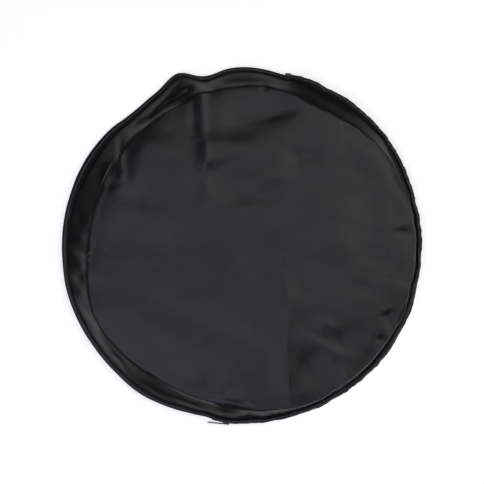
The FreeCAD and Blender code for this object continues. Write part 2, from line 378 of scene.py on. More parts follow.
def crest_radius(angle):
    """Distance from the pouch's centre to where the front panel turns down, past the folded rim's top."""
    x, y, reach = CREST
    mouth = mouth_share(angle)
    arc = angle * WALL_RADIUS
    view_angle = view_degrees(angle)
    reach = reach + (lobe(view_angle, 207, 15, 9.0) - lobe(view_angle, 152, 22, 4.5)) * MM
    reach = reach - (lobe(view_angle, 60, 16, 9.0) + lobe(view_angle, 100, 12, 2.0)) * MM
    reach = reach - lobe(view_angle, -110, 20, 6.0) * MM
    reach = reach + (2.0 * along(arc, 46 * MM, 31) + (0.8 + 0.7 * mouth) * along(arc, 17 * MM, 32)) * MM
    across = x * np.cos(angle) + y * np.sin(angle)
    return across + np.sqrt(reach ** 2 - x ** 2 - y ** 2 + across ** 2)


def edge_radius(angle):
    """Distance from the pouch's centre to the front panel's edge, gathered along the zip."""
    arc = angle * WALL_RADIUS
    mouth = mouth_share(angle)
    pucker = along(arc, 3.6 * MM, 10) * 0.45 + along(arc, 6.5 * MM, 11) * 0.6 + along(arc, 15 * MM, 12) * 0.6
    roll = along(arc, 34 * MM, 13) * 0.7 + along(arc, 12 * MM, 14) * 0.2
    least = (-1.0 * mouth - 9.0 * (1 - mouth)) * MM
    uneven = (mouth * pucker + (1 - 0.4 * mouth) * roll) * MM
    return WALL_RADIUS + np.maximum(edge_offset(view_degrees(angle)), least) + uneven


def lip_radius(angle):
    """The lip under the zip, which shows past the front panel's edge, most of all at the lower right."""
    return edge_radius(angle) + (2.0 + lobe(view_degrees(angle), -42, 34)) * MM


def top_folds(u, v):
    """The bump in the edge above the left of the middle, and the crease that runs down from it."""
    z = fold(u, v, [(-110, 136), (-90, 158), (-76, 176), (-62, 190)], 6, 4, 2.4, 0.2)
    z += fold(u, v, [(-122, 126), (-94, 148), (-68, 163), (-48, 178)], 5, 8, -2.6, 0.2)
    z += fold(u, v, [(-74, 186), (-66, 178), (-60, 170)], 4, 4, 0.9)
    z += fold(u, v, [(-46, 192), (-45, 160), (-43, 124), (-41, 66)], 5.0, 9.0, 1.25, 0.12)
    z += fold(u, v, [(-56, 172), (-54, 150), (-53, 118)], 6, 5, -0.9)
    z += fold(u, v, [(-30, 177), (0, 180), (40, 179), (70, 173)], 5, 6, -1.5, 0.2)
    z += fold(u, v, [(24, 178), (25, 170), (22, 163)], 4, 4, -0.7)
    z += dent(u, v, (-33, 172), (9, 6), -30, -1.2)
    return z


def left_folds(u, v):
    """Puckers on the wide slope on the left, where the cloth hangs from the rim to the seam."""
    z = fold(u, v, [(-138, 128), (-135, 105), (-132, 68)], 4.5, 4.5, 1.6, 0.2)
    z += fold(u, v, [(-98, 132), (-108, 96), (-124, 48)], 34, 20, 3.2, 0.3)
    z += fold(u, v, [(-152, 94), (-149, 74), (-146, 56)], 8, 6, -1.4)
    z += dent(u, v, (-108, 62), (9, 16), -14, -0.7)
    z += fold(u, v, [(-200, 42), (-188, 32), (-176, 20)], 8, 6, 1.6)
    z += fold(u, v, [(-202, 13), (-182, 8), (-170, 7)], 6, 6, -1.7)
    z += fold(u, v, [(-202, 0), (-184, -5), (-166, -12)], 5, 4.5, 2.0, 0.15)
    z += fold(u, v, [(-202, -18), (-184, -21), (-170, -24)], 6, 5, -2.0)
    z += fold(u, v, [(-200, -32), (-184, -36), (-174, -38)], 4, 5, 1.9)
    z += fold(u, v, [(-200, -46), (-184, -50), (-172, -55)], 6, 6, -1.9)
    z += fold(u, v, [(-198, -58), (-180, -68), (-165, -84)], 5, 7, 2.0)
    return z


def lower_left_folds(u, v):
    """Sharp folds that the rim pulls in the seam, low on the left."""
    z = fold(u, v, [(-178, -82), (-170, -88), (-162, -95)], 4, 4, -1.5)
    z += fold(u, v, [(-182, -88), (-171, -98), (-158, -120)], 3.5, 4.5, 2.6, 0.2)
    z += fold(u, v, [(-165, -98), (-155, -108), (-146, -130)], 5.5, 4.5, 1.7, 0.2)
    z += fold(u, v, [(-150, -118), (-137, -128), (-120, -158)], 3.2, 3.4, 2.0, 0.2)
    z += fold(u, v, [(-148, -130), (-136, -140), (-126, -154)], 5, 5, -1.6)
    z += fold(u, v, [(-106, -156), (-88, -169), (-68, -182)], 3.2, 3.6, 1.8, 0.2)
    z += fold(u, v, [(-80, -168), (-58, -177), (-34, -188)], 3.0, 4.0, 1.6, 0.2)
    z += fold(u, v, [(-122, -142), (-78, -164), (-32, -177), (4, -181)], 24, 6, -2.2, 0.2)
    z += fold(u, v, [(-42, -170), (-8, -174), (12, -181), (24, -196)], 4, 5, 2.0, 0.5)
    z += dent(u, v, (6, -190), (7, 4.5), 20, -3.6)
    return z


def flat_creases(u, v):
    """Creases left in the flat of the panel from how it was packed, and soft wrinkles."""
    z = crease(u, v, [(47, -26), (50, -70), (49, -120), (51, -182)], 26, 34, 2.2, 0.3)
    z += dent(u, v, (42, -80), (72, 46), 45, 2.4)
    z += fold(u, v, [(-142, -56), (-80, -96), (-20, -124), (44, -158)], 18, 32, 2.4, 0.45)
    z += fold(u, v, [(-140, -44), (-80, -76), (-24, -100), (10, -112)], 16, 14, -1.2)
    z += fold(u, v, [(-33, 126), (-36, 104), (-32, 80)], 34, 8, 2.2)
    z += fold(u, v, [(-22, 80), (20, 75), (66, 79)], 13, 10, 1.3)
    z += fold(u, v, [(-34, 56), (5, 51), (52, 56)], 11, 10, -1.4)
    z += fold(u, v, [(-16, 114), (14, 140), (60, 157)], 22, 17, -2.9, 0.3)
    z += fold(u, v, [(18, 141), (44, 145), (70, 150)], 7, 6, -1.1)
    z += fold(u, v, [(44, 98), (68, 97), (94, 99)], 10, 9, -1.0)
    z += fold(u, v, [(14, 46), (10, 26), (12, 8)], 11, 11, -0.9)
    z += fold(u, v, [(-42, 76), (-39, 56), (-40, 38)], 8, 7, 0.8)
    z += fold(u, v, [(-98, 60), (-78, 30), (-72, -6)], 24, 20, 0.9)
    z += fold(u, v, [(84, 60), (104, 20), (100, -28)], 26, 30, 1.3)
    z += fold(u, v, [(120, 90), (140, 50), (146, 0)], 22, 26, -1.1)
    z += fold(u, v, [(72, -82), (92, -89), (114, -97)], 8, 9, 1.2, 0.45)
    z += fold(u, v, [(52, -97), (86, -111), (122, -131)], 8, 10, 1.6, 0.4)
    z += fold(u, v, [(56, -126), (82, -142), (98, -162)], 20, 18, -1.6)
    return z


def right_marks(u, v):
    """Dimples and short folds near the gathered edge on the right."""
    z = fold(u, v, [(156, -72), (163, -85), (171, -100)], 6, 6, -1.4, 0.2)
    z += fold(u, v, [(142, -106), (153, -112), (156, -121), (144, -128)], 4, 5, 1.0)
    z += fold(u, v, [(146, -101), (156, -107), (161, -118)], 4, 4, -1.0)
    z += fold(u, v, [(108, -132), (117, -144), (125, -158)], 7, 5, 1.0)
    z += fold(u, v, [(162, 58), (168, 38), (172, 20)], 11, 7, -1.0)
    z += dent(u, v, (176, 14), (8, 5), 0, -0.9)
    z += dent(u, v, (144, 130), (9, 5), 30, -1.2)
    z += fold(u, v, [(68, 180), (106, 157), (136, 140)], 6, 8, -2.2, 0.25)
    z += fold(u, v, [(84, 176), (108, 163), (130, 149)], 2.5, 2.5, 1.2, 0.2)
    z += fold(u, v, [(154, 118), (169, 84), (183, 52), (191, 28)], 4, 5, -1.5, 0.15)
    return z


def sculpt(u, v):
    """Folds and creases of the front panel, as heights on top of its stretched shape."""
    z = TOP_GAIN * top_folds(u, v) + LEFT_GAIN * left_folds(u, v) + LOWER_LEFT_GAIN * lower_left_folds(u, v)
    z += flat_creases(u, v) + right_marks(u, v)
    soft = ripple(u, v * 1.5, 58 * MM, 1) * 1.0 + ripple(u + 0.5 * v, v - 0.3 * u, 27 * MM, 2) * 0.45
    fine = ripple(u, v, 12 * MM, 3) * 0.1 + ripple(u + v, v - u, 6 * MM, 4) * 0.04
    return z + (soft + fine) * MM


def front_profile(at):
    """The front panel's crest, seam and rolled edge at each angle."""
    mouth = mouth_share(at)
    arc = at * WALL_RADIUS
    edge = edge_radius(at)
    view_angle = view_degrees(at)
    lifted = lobe(view_angle, 60, 20, 2.6)
    upper_left = lobe(view_angle, 150, 17)
    left = lobe(view_angle, 190, 34)
    roll_width = (4.6 + 2.6 * upper_left + 0.8 * along(arc, 21 * MM, 21)) * MM
    waves = 0.5 * along(arc, 9 * MM, 23) * (0.4 + 0.6 * mouth)
    return {
        "bend": 0.36 - 0.2 * left + 0.12 * along(arc, 60 * MM, 34),
        "crest_r": crest_radius(at),
        "crest_z": TOP_Z + (1.1 + 0.35 * along(arc, 30 * MM, 33)) * MM,
        "edge": edge,
        "roll_width": roll_width,
        "seam_r": edge - roll_width,
        "seam_z": (11.0 + 3.6 * mouth + lifted + 0.5 * along(arc, 18 * MM, 22)) * MM,
        "roll_up": (1.3 + 1.4 * upper_left + 0.7 * mouth + waves) * MM,
        "roll_down": (8.1 - 1.9 * mouth + lifted) * MM,
    }


def slope_height(profile, r):
    """The cloth's height on its way down from the crest to the seam."""
    t = (r - profile["crest_r"]) / (profile["seam_r"] - profile["crest_r"])
    bend = profile["bend"]
    drop = (np.sqrt(t * t + bend * bend) - bend) / (np.sqrt(1 + bend * bend) - bend)
    drop = drop + 0.06 * np.sin(math.pi * np.clip(t, 0, 1)) * smooth(t, 0, 0.3)
    start = profile["crest_z"] - 0.7 * MM
    return start + (profile["seam_z"] - start) * drop


def supported(x, y, z):
    """Keeps the cloth above the folded rim and the cloth inside it, and lets it lie over them softly."""
    past_loop = np.hypot(x - RIM_X, y - RIM_Y) - LOOP_RADIUS[2]
    off = np.clip((np.abs(past_loop) - SLEEVE_FLAT) / SLEEVE_CORNER, 0, 1)
    rim_top = sleeve_high.z + COVER_GAP - SLEEVE_CORNER * (1 - np.sqrt(1 - off ** 2))
    low = np.where(past_loop < 0, np.maximum(rim_top, silver_high.z + CRUMPLE_ROOM), rim_top)
    low = low - RELEASE_SLOPE * np.maximum(0, past_loop - SLEEVE_WIDTH / 2)
    return (z + low + np.sqrt((z - low) ** 2 + SOFT_CONTACT ** 2)) / 2


def fold_back(piece):
    """Bakes the piece's placement into its mesh."""
    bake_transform(piece)


def front_cloth():
    """The front panel's cloth: its flat, its slope down to the seam, and its edge, rolled under."""
    p = front_profile(angles)
    rows_r, rows_z = [], []
    for i in range(TOP_ROWS):
        a = i / (TOP_ROWS - 1)
        rows_r.append(p["crest_r"] * a)
        dome = smooth(p["crest_r"] * (1 - a), 16 * MM, 0) * 0.7 * MM
        rows_z.append(p["crest_z"] * a + (TOP_Z + 1.4 * MM) * (1 - a) - 1.0 * MM * (1 - a * a) - dome)
    for i in range(1, SLOPE_ROWS + 1):
        r = p["crest_r"] + (p["seam_r"] - p["crest_r"]) * i / SLOPE_ROWS
        rows_r.append(r)
        rows_z.append(slope_height(p, r))
    for i in range(1, HEM_ROWS + 1):
        a = math.radians(180 - HEM_TURN * i / HEM_ROWS)
        height = np.where(math.sin(a) > 0, p["roll_up"], p["roll_down"])
        rows_r.append(p["edge"] - p["roll_width"] / 2 * (1 - math.cos(a)))
        rows_z.append(p["seam_z"] + height * math.sin(a))
    r, z = np.array(rows_r), np.array(rows_z)
    x, y = r * np.cos(angles), r * np.sin(angles)
    u, v = to_view(x, y)
    weight = smooth(np.arange(len(r)), TOP_ROWS + SLOPE_ROWS, TOP_ROWS)[:, None]
    z = supported(x, y, z + sculpt(u, v) * weight)
    points = np.stack([x, y, z], -1)
    return new_mesh("front_cloth", points, grid_faces(len(r), COLUMNS, closed_columns=True), POUCH_CLOTH)


# ---- The back panel ----

BACK_ROWS = 84
BACK_HEM_ROWS = 8
BACK_SEWN_EDGE = 199.0 * MM       # its reach where it is sewn to the front panel
BACK_MOUTH_EDGE = 194.6 * MM      # and along the zip
BACK_HEM_ROUND = 0.8 * MM


def back_cloth(sewn_on):
    """The rumpled back panel: cloth with a turned hem, inside the wall and under the disc."""
    mouth = mouth_share(angles)
    arc = angles * WALL_RADIUS
    sewn_edge = np.minimum(BACK_SEWN_EDGE, edge_radius(angles) - 0.3 * MM)
    edge = sewn_edge * (1 - mouth) + BACK_MOUTH_EDGE * mouth
    hem_low = (0.5 + 0.6 * mouth) * MM
    hem_high = (2.7 + 0.3 * along(arc, 12 * MM, 42)) * MM
    share = np.linspace(0, 1, BACK_ROWS)[:, None]
    r = share * (edge - BACK_HEM_ROUND)
    x, y = r * np.cos(angles), r * np.sin(angles)
    rumple = ripple(x + 0.4 * y, y, 38 * MM, 43) + 0.5 * ripple(x, y - 0.3 * x, 15 * MM, 44)
    rumple += 0.9 * (1 - np.abs(ripple(x - y, x + y, 60 * MM, 45)) * 2) * 0.5
    flat = smooth(r, edge - 10 * MM, edge - 22 * MM)
    z = (1.35 + 0.62 * np.clip(rumple, -1.5, 1.7) * flat) * MM
    z = z + smooth(r, edge - 12 * MM, edge) * (hem_low - 0.9 * MM)
    middle, half = (hem_low + hem_high) / 2, (hem_high - hem_low) / 2
    turns_r, turns_z = [], []
    for i in range(1, BACK_HEM_ROWS + 1):
        a = math.radians(-90 + 180 * i / BACK_HEM_ROWS)
        turns_r.append(edge - BACK_HEM_ROUND + BACK_HEM_ROUND * math.cos(a))
        turns_z.append(middle + half * math.sin(a))
    for inward in (3.0, 6.0, 9.0):
        turns_r.append(edge - (0.8 + inward) * MM)
        turns_z.append(hem_high - 0.1 * MM * (inward - 3) / 6)
    r = np.vstack([r, turns_r])
    z = np.vstack([z, turns_z])
    points = np.stack([r * np.cos(angles), r * np.sin(angles), z], -1)
    piece = new_mesh("back_cloth", points, grid_faces(len(r), COLUMNS, closed_columns=True), BACK_CLOTH)
    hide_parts("back_panel")
    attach(piece, "bag")


# ---- Narrow strips that run round the pouch ----

TAPE_THICKNESS = 0.44 * MM
TAPE_UPRIGHT = 197.32 * MM        # where both zip tapes stand upright, beside the coils
LIP_ROOT = 197.9 * MM             # the lip's reach at the zip's ends
LIP_THICKNESS = 0.5 * MM
zip_angles = np.linspace(-ZIP_HALF, ZIP_HALF, 720)


def strip(name, at, r, z, made, closed_section=True, closed_round=False, centre=(0, 0)):
    """A strip swept round a centre. r and z hold one row for each point of its section, in metres."""
    r, z = np.broadcast_arrays(np.array(r, float), np.array(z, float))
    points = np.stack([centre[0] + r * np.cos(at), centre[1] + r * np.sin(at), z], -1)
    length = at * WALL_RADIUS
    across = np.concatenate([[0], np.cumsum(np.hypot(np.diff(r.mean(1)), np.diff(z.mean(1))))])
    uv = np.stack(np.broadcast_arrays(length[None, :], across[:, None]), -1)
    faces = grid_faces(len(r), len(at), closed_rows=closed_section, closed_columns=closed_round)
    return new_mesh(name, points, faces, made, uv)


def ribbon(rows, thickness):
    """A closed thin section at each of the zip's angles, from rows of (r, z) along its middle line."""
    line = np.array([[np.broadcast_to(v, zip_angles.shape) for v in row] for row in rows])
    ahead = np.gradient(line, axis=0)
    ahead /= np.linalg.norm(ahead, axis=1, keepdims=True)
    side = np.stack([ahead[:, 1], -ahead[:, 0]], 1) * thickness / 2
    around_it = np.concatenate([line + side, (line - side)[::-1]])
    return around_it[:, 0], around_it[:, 1]


def lower_tape():
    """The tape that lies on the back panel and turns up to its coil."""
    wave = 0.1 * along(zip_angles * WALL_RADIUS, 14 * MM, 51) * MM
    rows = [(188.0 * MM, 0.56 * MM), (192.0 * MM, 0.55 * MM), (195.0 * MM, 0.56 * MM),
            (196.8 * MM, 0.62 * MM), (197.3 * MM, 1.0 * MM),
            (TAPE_UPRIGHT, 1.6 * MM), (TAPE_UPRIGHT, 2.3 * MM)]
    rows = [(r + wave * (r < 197 * MM), z) for r, z in rows]
    piece = strip("zip_lower_tape", zip_angles, *ribbon(rows, TAPE_THICKNESS), TAPE_CLOTH)
    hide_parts("zip_tape_lower")
    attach(piece, "bag")
    return piece


def hem_lip():
    """The raw lip of the back panel's seam, which stands out under the zip."""
    out = lip_radius(zip_angles) + 0.25 * along(zip_angles * WALL_RADIUS, 4.5 * MM, 53) * MM
    fade = smooth(np.abs(np.degrees(zip_angles)), 88, 80)
    out = LIP_ROOT + (out - LIP_ROOT) * fade
    rows = [(197.66 * MM, 0.75 * MM), ((out + 197.6 * MM) / 2, 0.66 * MM), (out, 0.45 * MM)]
    piece = strip("back_hem_lip", zip_angles, *ribbon(rows, LIP_THICKNESS), TAPE_CLOTH)
    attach(piece, "bag")
    return piece


def upper_tape():
    """The tape that is sewn under the front panel's slope and turns down to its coil."""
    profile = front_profile(zip_angles)
    seam_r, seam_z = profile["seam_r"], profile["seam_z"]
    inner_r = seam_r - 4.2 * MM
    inner_z = slope_height(profile, inner_r) - 1.0 * MM
    rows = [(TAPE_UPRIGHT, 6.1 * MM), (197.3 * MM, 6.9 * MM), (197.2 * MM, 7.6 * MM), (196.6 * MM, 8.3 * MM),
            ((seam_r + 195.5 * MM) / 2, seam_z - 1.0 * MM), (seam_r, seam_z - 0.9 * MM),
            ((seam_r + inner_r) / 2, (seam_z + inner_z) / 2 - 0.4 * MM), (inner_r, inner_z)]
    piece = strip("zip_upper_tape", zip_angles, *ribbon(rows, TAPE_THICKNESS), TAPE_CLOTH)
    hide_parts("zip_tape_upper", "zip_tape_upper_ends")
    fold_back(piece)
    return piece


COIL_HALF = math.radians(86.3)
COIL_PITCH = 1.4 * MM
COIL_REACH = 0.8 * MM             # half the coil, across its thread's turns
COIL_THREAD = 0.3 * MM
COIL_STEPS = 12
COIL_RING = 4


def coil(name, low, high, phase):
    """A nylon coil: a wound thread that runs round the tape's edge."""
    turns = int(2 * COIL_HALF * WALL_RADIUS / COIL_PITCH)
    wound = np.arange(turns * COIL_STEPS) / COIL_STEPS
    at = -COIL_HALF + (wound + phase) * 2 * COIL_HALF / (turns + 1)
    a = TURN * wound
    middle, up = (low + high) / 2, (high - low) / 2 - COIL_THREAD
    r = (lower_coil_high.x - COIL_REACH) + (COIL_REACH - COIL_THREAD) * np.cos(a)
    z = middle + up * np.sin(a)
    path = np.stack([r * np.cos(at), r * np.sin(at), z], -1)
    outward = np.stack([np.cos(a) * np.cos(at), np.cos(a) * np.sin(at), np.sin(a)], -1)
    outward /= np.linalg.norm(outward, axis=1)[:, None]
    ahead = np.gradient(path, axis=0)
    ahead /= np.linalg.norm(ahead, axis=1)[:, None]
    side = np.cross(ahead, outward)
    points = [path + COIL_THREAD * (math.cos(b) * outward + math.sin(b) * side)
              for b in (TURN * (k + 0.5) / COIL_RING for k in range(COIL_RING))]
    points = np.stack(points, 1)
    piece = new_mesh(name, points, grid_faces(len(path), COIL_RING, closed_columns=True), COIL_PLASTIC)
    return piece


def coils():
    lower = coil("zip_lower_coil", lower_coil_low.z, lower_coil_high.z, 0.0)
    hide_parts("zip_coil_lower")
    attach(lower, "bag")
    upper = coil("zip_upper_coil", upper_coil_low.z, upper_coil_high.z, 0.5)
    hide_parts("zip_coil_upper", "zip_coil_upper_ends")
    fold_back(upper)
    return lower, upper


def inside_binding():
    """Folded tape over the seam's raw edges, inside the pouch, round the sewn half."""
    at = np.linspace(math.radians(90), math.radians(270), 620)
    arc = at * WALL_RADIUS
    wave = 0.25 * along(arc, 9 * MM, 61) * MM + np.minimum(0, edge_radius(at) - 198.9 * MM)
    lift = 0.25 * along(arc, 16 * MM, 62) * MM
    section = [(-3.4, 0.2), (-3.7, 0.6), (-3.5, 1.1), (-2.4, 1.5), (-1.2, 1.7),
               (-0.3, 1.5), (0.0, 1.0), (-0.1, 0.3), (-1.2, 0.05), (-2.4, 0.05)]
    r = [binding_high.y + (dr - 0.4) * MM + wave for dr, _ in section]
    z = [binding_low.z + dz * MM + lift * (dz > 0.4) for _, dz in section]
    piece = strip("inside_binding", at, r, z, BINDING_CLOTH)
    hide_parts("seam_binding")
    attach(piece, "bag")
    line_r, line_z = binding_high.y - 2.4 * MM + wave, binding_low.z + 1.62 * MM + lift
    row = stitch_row("binding_stitches", at, line_r, line_z, 3.0, 1.1, 0.32)
    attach(row, "bag")
    return piece, row


def stitch_row(name, at, r, z, length, gap, thread, centre=(0, 0)):
    """A row of stitches along a line that runs round the pouch. length, gap and thread in millimetres."""
    line = np.stack([centre[0] + r * np.cos(at), centre[1] + r * np.sin(at), z], -1)
    steps = np.linalg.norm(np.diff(line, axis=0), axis=1)
    run = np.concatenate([[0], np.cumsum(steps)])
    count = int(run[-1] / ((length + gap) * MM))
    middle = (np.arange(count) + 0.5) * run[-1] / count
    spot = np.stack([np.interp(middle, run, line[:, k]) for k in range(3)], -1)
    beyond = np.stack([np.interp(middle + length * MM / 3, run, line[:, k]) for k in range(3)], -1)
    ahead = beyond - spot
    ahead[-1] = ahead[-2]
    ahead /= np.linalg.norm(ahead, axis=1)[:, None]
    side = np.cross([0, 0, 1.0], ahead)
    side /= np.linalg.norm(side, axis=1)[:, None]
    lift = np.cross(ahead, side)
    rings = [(-0.5, 0.15, -0.5), (-0.42, 0.75, -0.1), (-0.2, 1.0, 0.25), (0.2, 1.0, 0.25), (0.42, 0.75, -0.1),
             (0.5, 0.15, -0.5)]
    ring = 5
    points = []
    for place, wide, high in rings:
        for k in range(ring):
            a = TURN * (k + 0.5) / ring
            offset = ahead * place * length + side * math.cos(a) * wide * thread
            points.append(spot + (offset + lift * (high + math.sin(a) * wide) * thread) * MM)
    each = len(points)
    one = grid_faces(len(rings), ring, closed_columns=True)
    faces = [tuple(each * i + v for v in f) for i in range(count) for f in one]
    return new_mesh(name, np.stack(points, 1), faces, THREAD)


# ---- The folded disc ----

RIM_STEPS = 3 * 640
RIM_RING = 20
SLEEVE_SQUARENESS = 3.2           # power of the sleeve's rounded section
FACE_LAYERS = 9
FACE_COLUMNS = 200                # in one layer
FACE_ROWS = 60


def rim_path(steps):
    """The band's whole closed path: angle about the rim's centre, radius and height."""
    turned = np.linspace(0, 3 * 360, steps, endpoint=False)
    k = (turned // 360).astype(int)
    part = turned % 360
    t = np.clip((part - 300) / 60, 0, 1)
    radii, heights = np.array(LOOP_RADIUS + [0]), np.array(LOOP_Z + [0])
    climb = smooth(t, 0.28, 0.74)
    r = radii[k] + climb * (radii[k + 1] - radii[k])
    z = heights[k] + climb * (heights[k + 1] - heights[k])
    inwards, outwards = smooth(t, 0, 0.28), smooth(t, 0.74, 1)
    dive_r = radii[2] + inwards * (INNER_CROSSING - radii[2]) + outwards * (radii[0] - INNER_CROSSING)
    dive_z = heights[2] + climb * (heights[0] - heights[2])
    r = np.where(k == 2, dive_r, r)
    z = np.where(k == 2, dive_z, z)
    return np.radians(turned + math.degrees(CROSSING_END)), r, z


def rim():
    """The gathered cloth sleeve over the band, with its stitches."""
    at, r, z = rim_path(RIM_STEPS)
    run = np.concatenate([[0], np.cumsum(np.hypot(r[1:] * np.diff(at), np.diff(z)))])
    rows_r, rows_z = [], []
    half_w, half_h = SLEEVE_WIDTH / 2, SLEEVE_HEIGHT / 2
    gather = 0.5 * along(run, 5.5 * MM, 71) + 0.5 * along(run, 11 * MM, 72)
    fine = along(run, 3.0 * MM, 73)
    ends = smooth(run, 0, 30 * MM) * smooth(run[-1] - run, 0, 30 * MM)
    power = SLEEVE_SQUARENESS
    for k in range(RIM_RING):
        a = TURN * k / RIM_RING
        c, s = math.cos(a), math.sin(a)
        size = (abs(c) ** power + abs(s) ** power) ** (-1 / power)
        inner = max(0.0, -c)
        pucker = (0.42 * gather * inner + 0.12 * fine) * ends * MM * (0.25 + 0.75 * inner)
        rows_r.append(r + half_w * size * c - pucker * np.sign(c) * (abs(c) > 0.3))
        rows_z.append(z + half_h * size * s * 0.995)
    piece = strip("rim_cover", at, rows_r, rows_z, RIM_CLOTH, closed_round=True, centre=(RIM_X, RIM_Y))
    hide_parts("rim_sleeve")
    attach(piece, "reflector")
    row = stitch_row("rim_stitches", at, r - 2.9 * MM, z + half_h - 0.42 * MM, 3.2, 1.2, 0.3, (RIM_X, RIM_Y))
    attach(row, "reflector")


def folded_face(name, node, reach, low, high, peak, seed, made):
    """Cloth twisted down into many layers, with folds that swirl out from the middle to the rim."""
    count = FACE_LAYERS * FACE_COLUMNS + 1
    turned = np.arange(count) * TURN / FACE_COLUMNS
    part = np.degrees(turned) % 360
    beside = np.abs(around(part, 180))
    keep = INNER_CROSSING - SLEEVE_WIDTH / 2 - 1.0 * MM
    edge = keep + (reach - keep) * smooth(beside, 33, 38)
    share = np.linspace(0.02, 1, FACE_ROWS)[:, None]
    r = share * edge
    place = r / reach
    x, y = r * np.cos(turned), r * np.sin(turned)
    swirl = turned + 1.5 * place + 0.22 * ripple(x, y, 50 * MM, seed)
    wide = np.sin(7 * swirl) * 0.5 + 0.5
    narrow = 1 - np.abs(np.sin(8.5 * swirl + 1.3 * ripple(x, y, 40 * MM, seed + 1)))
    crumple = ripple(x, y, 16 * MM, seed + 2) * 0.5 + ripple(x + y, x - y, 8 * MM, seed + 3) * 0.25
    body = smooth(place, 0.0, 0.25) * smooth(place, 1.0, 0.86)
    relief = 0.45 * wide + 0.4 * narrow ** 2 + 0.3 * crumple
    top = high - 0.3 * MM + (relief - 0.55) * (peak - high) * 2.1 * body + 0.5 * MM * crumple * body
    base = low + 0.25 * MM
    last = smooth(turned, turned[-1] - math.radians(30), turned[-1])
    s = turned / turned[-1] - last / FACE_LAYERS
    z = base + (np.minimum(top, peak) - base) * s
    points = np.stack([RIM_X + x, RIM_Y + y, z], -1)
    uv = np.stack([x, y], -1)
    piece = new_mesh(name, points, grid_faces(FACE_ROWS, count), made, uv)
    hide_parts(node)
    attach(piece, "reflector")


def folded_faces():
    low, high = white_low.z, white_high.z
    folded_face("white_cloth", "white_face", 170.4 * MM, low, high, high + 0.1 * MM, 81, WHITE_CLOTH)
    low, high = silver_low.z, silver_high.z
    folded_face("silver_cloth", "silver_face", 166.0 * MM, low, high, high + 1.6 * MM, 91, SILVER_CLOTH)


# ---- Metal and plastic ----


def enamel():
    """Black enamel on cast zinc: slightly uneven gloss, worn to bare metal along its edges."""
    made, nodes, links, shader = material("black_enamel", 0.32, metallic=0.0, specular=0.5, coat=0.3)
    place = nodes.new("ShaderNodeTexCoord").outputs["Object"]
    speck = noise_node(nodes, links, place, 0.0012, 4, 0.6)
    point = nodes.new("ShaderNodeNewGeometry").outputs["Pointiness"]
    worn = math_node(nodes, links, "MULTIPLY", math_node(nodes, links, "GREATER_THAN", point, 0.56), speck)
    wear = math_node(nodes, links, "GREATER_THAN", worn, 0.66)
    color = ramp(nodes, links, wear, [(0.0, (0.012, 0.012, 0.013)), (1.0, (0.32, 0.31, 0.29))])
    links.new(color, shader.inputs["Base Color"])
    links.new(wear, shader.inputs["Metallic"])
    gloss = nodes.new("ShaderNodeMapRange")
    gloss.inputs["To Min"].default_value = 0.25
    gloss.inputs["To Max"].default_value = 0.45
    links.new(noise_node(nodes, links, place, 0.004, 3), gloss.inputs["Value"])
    links.new(gloss.outputs["Result"], shader.inputs["Roughness"])
    links.new(bump(nodes, links, speck, 0.0001, 0.3), shader.inputs["Normal"])
    return made


def steel(name, color, along_it):
    """Drawn strip steel, with fine lines and faint stains."""
    made, nodes, links, shader = material(name, 0.35, metallic=1.0)
    place = nodes.new("ShaderNodeTexCoord").outputs["Object"]
    stretch = nodes.new("ShaderNodeMapping")
    stretch.inputs["Scale"].default_value = along_it
    links.new(place, stretch.inputs["Vector"])
    lines = noise_node(nodes, links, stretch.outputs["Vector"], 0.002, 4, 0.6)
    stain = noise_node(nodes, links, place, 0.012, 4, 0.6)
    tone = math_node(nodes, links, "ADD", math_node(nodes, links, "MULTIPLY", lines, 0.5),
                 math_node(nodes, links, "MULTIPLY", stain, 0.5))
    darker = tuple(0.7 * c for c in color)
    links.new(ramp(nodes, links, tone, [(0.35, darker), (0.65, color)]), shader.inputs["Base Color"])
    links.new(bump(nodes, links, lines, 0.0001, 0.4), shader.inputs["Normal"])
    return made


def coil_plastic():
    """Black nylon, with fine scratches."""
    made, nodes, links, shader = material("coil_plastic", 0.38, specular=0.45)
    place = nodes.new("ShaderNodeTexCoord").outputs["Object"]
    tone = noise_node(nodes, links, place, 0.006, 3)
    links.new(ramp(nodes, links, tone, [(0.3, (0.008, 0.008, 0.009)), (0.7, (0.014, 0.014, 0.015))]),
              shader.inputs["Base Color"])
    scratch = noise_node(nodes, links, place, 0.0006, 3)
    links.new(bump(nodes, links, scratch, 0.00005, 0.5), shader.inputs["Normal"])
    return made


def sewing_thread():
    """Twisted sewing thread, with painted shade: darker in the grooves of its twist, lighter on its ridges.
    """
    made, nodes, links, shader = material("sewing_thread", 0.55, specular=0.4, sheen=0.1)
    place = nodes.new("ShaderNodeTexCoord").outputs["Object"]
    twist = wave_node(nodes, links, place, 0.5 * MM, "DIAGONAL", 0.5)
    # painted shade: the colour follows the twist's own height, darker in its grooves and lighter on its
    # ridges
    links.new(ramp(nodes, links, twist, [(0.2, (0.006, 0.006, 0.007)), (0.8, (0.016, 0.016, 0.018))]),
              shader.inputs["Base Color"])
    links.new(bump(nodes, links, twist, 0.0001, 0.6), shader.inputs["Normal"])
    return made


def silver_film():
    """Silver-laminated cloth: metal film on a weave, crinkled and a little scuffed."""
    made = woven("silver_cloth", (0.42, 0.43, 0.45), (0.55, 0.56, 0.58), pitch=0.5 * MM,
                 roughness=0.33, specular=0.5, sheen=0.0, crinkle=0.5, weave_depth=0.3, space="UV")
    made.node_tree.nodes["Principled BSDF"].inputs["Metallic"].default_value = 0.85
    return made


